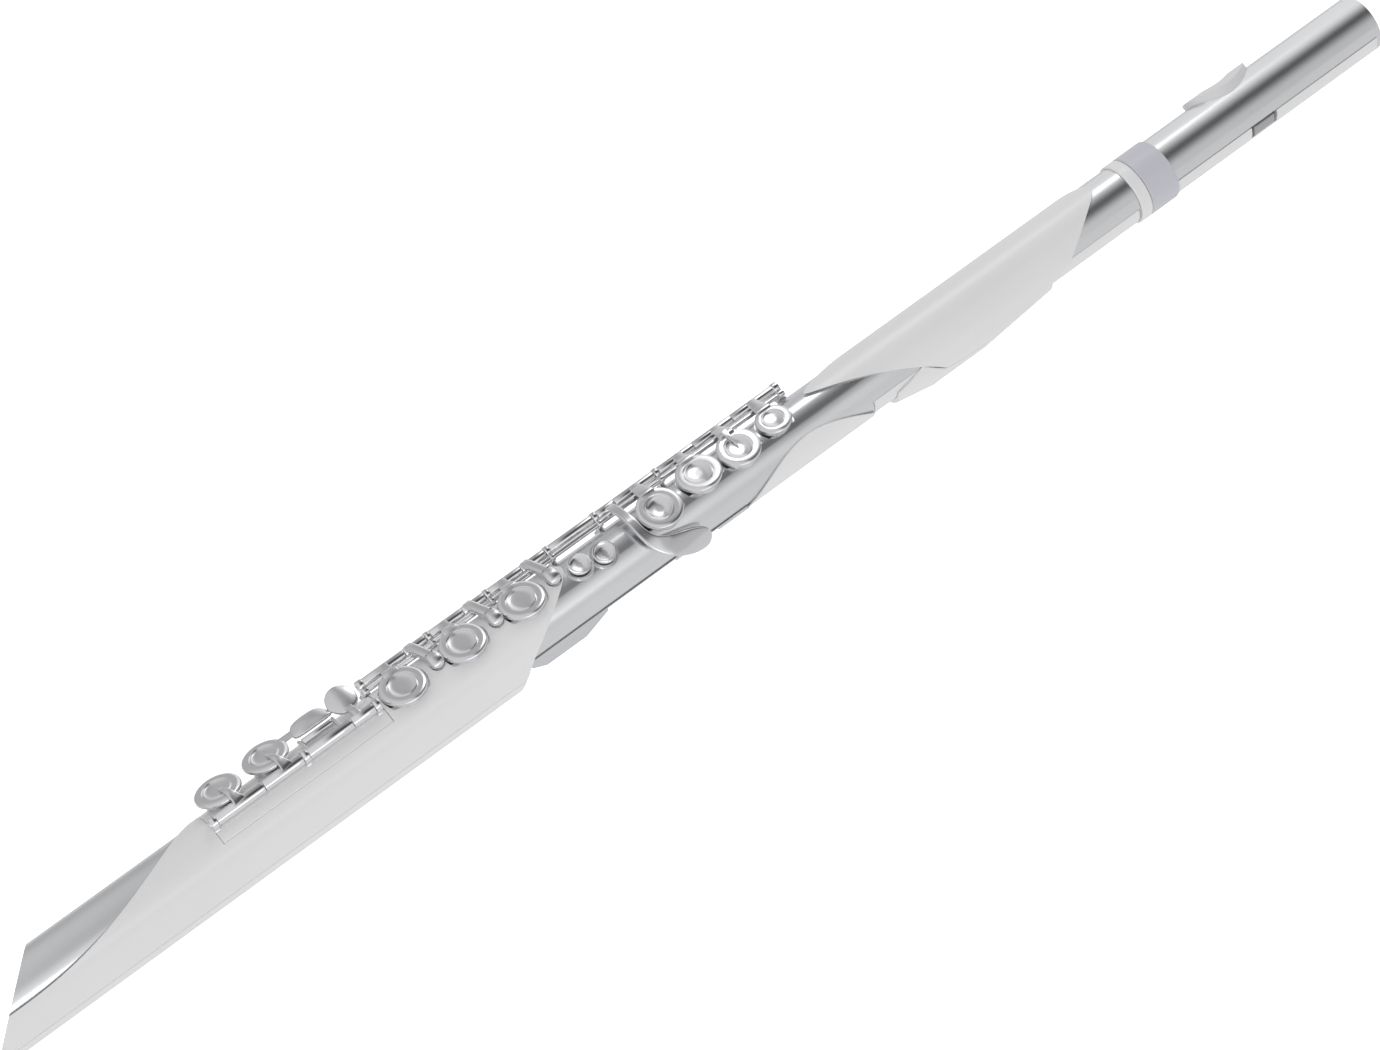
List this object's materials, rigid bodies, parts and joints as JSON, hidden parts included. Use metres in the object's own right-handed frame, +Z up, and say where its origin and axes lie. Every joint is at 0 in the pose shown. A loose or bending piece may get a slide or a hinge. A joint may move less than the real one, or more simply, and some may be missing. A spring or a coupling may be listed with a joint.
{
  "type": "electronic flute",
  "caption": "Full-size electronic flute: silver tube with white covers, hinged key cups and side levers on two rods, foot keys with a roller, and a turning head with a lip plate.",
  "frame": {"origin": "the middle of the flat floor of the foot's lower cover, on which the flute rests; the body tube's axis runs 18 mm above it", "axes": "+X along the tube towards the head end, +Z up the way the key cups face, -Y away from the player"},
  "size_m": [0.6754, 0.0331, 0.0391],
  "materials": {
    "satin_silver": "satin silver paint-like metal, soft dark reflections",
    "white_shell": "off-white satin plastic",
    "grey_cover": "satin silver-grey plastic",
    "bed_metal": "mirror polished",
    "key_metal": "silver plated keys, bright with dark reflections",
    "hinge_steel": "polished steel",
    "collar_grey": "satin lavender grey",
    "lip_grey": "satin pale grey",
    "latch_grey": "satin grey",
    "dark_plastic": "black moulded plastic",
    "circuit_board": "green circuit board",
    "cell_wrap": "blue shrink wrap"
  },
  "bodies": {
    "flute_body": {"body_tube": "satin_silver", "foot_end_plate": "satin_silver", "body_posts": "satin_silver", "button_pedestals": "satin_silver", "foot_shell": "white_shell", "foot_lower_cover": "white_shell", "lower_swoosh_shell": "white_shell", "head_side_shell": "white_shell", "head_side_cover": "white_shell", "rear_lower_cover": "white_shell", "socket_ring": "white_shell", "mid_lower_cover": "grey_cover", "thumb_rest": "grey_cover", "foot_key_bed": "bed_metal", "foot_posts": "key_metal", "key_chimneys": "key_metal", "thumb_posts": "key_metal", "main_steel": "hinge_steel", "side_rod": "hinge_steel", "thumb_steel": "hinge_steel", "cover_screws": "hinge_steel", "joint_collar": "collar_grey", "head_tenon": "dark_plastic", "key_switches": "dark_plastic", "headphone_jack": "dark_plastic", "usb_socket": "hinge_steel", "main_board": "circuit_board", "foot_board": "circuit_board", "battery_cell": "cell_wrap"},
    "head": {"head_upper_shell": "satin_silver", "head_lower_shell": "white_shell", "head_crown": "satin_silver", "lip_plate": "lip_grey", "embouchure_riser": "lip_grey", "breath_sensor": "dark_plastic"},
    "latch": {"lip_plate_latch": "latch_grey"},
    "low_c": {"low_c_key": "key_metal", "foot_steel": "hinge_steel", "low_c_touch": "key_metal"},
    "roller": {"low_c_roller": "key_metal"},
    "low_c_sharp": {"low_c_sharp_key": "key_metal"},
    "e_flat": {"e_flat_key": "key_metal"},
    "d": {"d_key": "key_metal"},
    "e": {"e_key": "key_metal"},
    "f": {"f_key": "key_metal"},
    "g": {"g_key": "key_metal"},
    "a": {"a_key": "key_metal"},
    "c": {"c_key": "key_metal"},
    "c_sharp": {"c_sharp_key": "key_metal"},
    "d_sharp_trill_lever": {"d_sharp_trill": "key_metal"},
    "d_trill_lever": {"d_trill": "key_metal"},
    "b_flat_side_lever": {"b_flat_lever": "key_metal"},
    "g_sharp": {"g_sharp_lever": "key_metal"},
    "upper_function_button": {"upper_button": "key_metal"},
    "lower_function_button": {"lower_button": "key_metal"},
    "thumb_b_flat": {"thumb_b_flat_key": "key_metal"},
    "thumb_b": {"thumb_b_key": "key_metal"}
  },
  "joints": [
    {"name": "head_turn", "type": "hinge", "parent": "flute_body", "child": "head", "pos_m": [0.43, 0, 0.018], "axis": [1, 0, 0], "range_deg": [-40, 40]},
    {"name": "latch_slide", "type": "slide", "parent": "head", "child": "latch", "axis": [1, 0, 0], "range_m": [0, 0.0015]},
    {"name": "low_c_hinge", "type": "hinge", "parent": "flute_body", "child": "low_c", "pos_m": [-0.0129, -0.0041, 0.033], "axis": [1, 0, 0], "range_deg": [-3.6, 0]},
    {"name": "low_c_roller_spin", "type": "hinge", "parent": "low_c", "child": "roller", "pos_m": [0.02625, 0.0019, 0.03375], "axis": [1, 0, 0], "continuous": true},
    {"name": "low_c_sharp_hinge", "type": "hinge", "parent": "flute_body", "child": "low_c_sharp", "pos_m": [0.0065, -0.0041, 0.033], "axis": [1, 0, 0], "range_deg": [-3.6, 0]},
    {"name": "e_flat_hinge", "type": "hinge", "parent": "flute_body", "child": "e_flat", "pos_m": [0.0427, -0.0041, 0.033], "axis": [1, 0, 0], "range_deg": [-8, 0]},
    {"name": "d_hinge", "type": "hinge", "parent": "flute_body", "child": "d", "pos_m": [0.0619, 0.0116, 0.0312], "axis": [1, 0, 0], "range_deg": [0, 3]},
    {"name": "e_hinge", "type": "hinge", "parent": "flute_body", "child": "e", "pos_m": [0.091, 0.0116, 0.0312], "axis": [1, 0, 0], "range_deg": [0, 3]},
    {"name": "f_hinge", "type": "hinge", "parent": "flute_body", "child": "f", "pos_m": [0.1185, 0.0116, 0.0312], "axis": [1, 0, 0], "range_deg": [0, 3]},
    {"name": "g_hinge", "type": "hinge", "parent": "flute_body", "child": "g", "pos_m": [0.18, 0.0116, 0.0312], "axis": [1, 0, 0], "range_deg": [0, 3]},
    {"name": "a_hinge", "type": "hinge", "parent": "flute_body", "child": "a", "pos_m": [0.2001, 0.0116, 0.0312], "axis": [1, 0, 0], "range_deg": [0, 3]},
    {"name": "c_hinge", "type": "hinge", "parent": "flute_body", "child": "c", "pos_m": [0.2179, 0.0116, 0.0312], "axis": [1, 0, 0], "range_deg": [0, 3]},
    {"name": "c_sharp_hinge", "type": "hinge", "parent": "flute_body", "child": "c_sharp", "pos_m": [0.2374, 0.0116, 0.0312], "axis": [1, 0, 0], "range_deg": [0, 3]},
    {"name": "d_sharp_trill_hinge", "type": "hinge", "parent": "flute_body", "child": "d_sharp_trill_lever", "pos_m": [0.0764, 0.0116, 0.0312], "axis": [1, 0, 0], "range_deg": [0, 2.2]},
    {"name": "d_trill_hinge", "type": "hinge", "parent": "flute_body", "child": "d_trill_lever", "pos_m": [0.1038, 0.0116, 0.0312], "axis": [1, 0, 0], "range_deg": [0, 2.2]},
    {"name": "b_flat_side_hinge", "type": "hinge", "parent": "flute_body", "child": "b_flat_side_lever", "pos_m": [0.1317, 0.0116, 0.0312], "axis": [1, 0, 0], "range_deg": [0, 2.2]},
    {"name": "g_sharp_hinge", "type": "hinge", "parent": "flute_body", "child": "g_sharp", "pos_m": [0.1662, 0.0116, 0.0312], "axis": [1, 0, 0], "range_deg": [0, 4]},
    {"name": "upper_button_press", "type": "slide", "parent": "flute_body", "child": "upper_function_button", "axis": [0, 0.3256, -0.9455], "range_m": [0, 0.0008]},
    {"name": "lower_button_press", "type": "slide", "parent": "flute_body", "child": "lower_function_button", "axis": [0, 0.454, -0.891], "range_m": [0, 0.0008]},
    {"name": "thumb_b_flat_hinge", "type": "hinge", "parent": "flute_body", "child": "thumb_b_flat", "pos_m": [0.1875, 0.0126, 0.0104], "axis": [1, 0, 0], "range_deg": [-3.5, 0]},
    {"name": "thumb_b_hinge", "type": "hinge", "parent": "flute_body", "child": "thumb_b", "pos_m": [0.2082, 0.0126, 0.0104], "axis": [1, 0, 0], "range_deg": [-3.5, 0]}
  ]
}
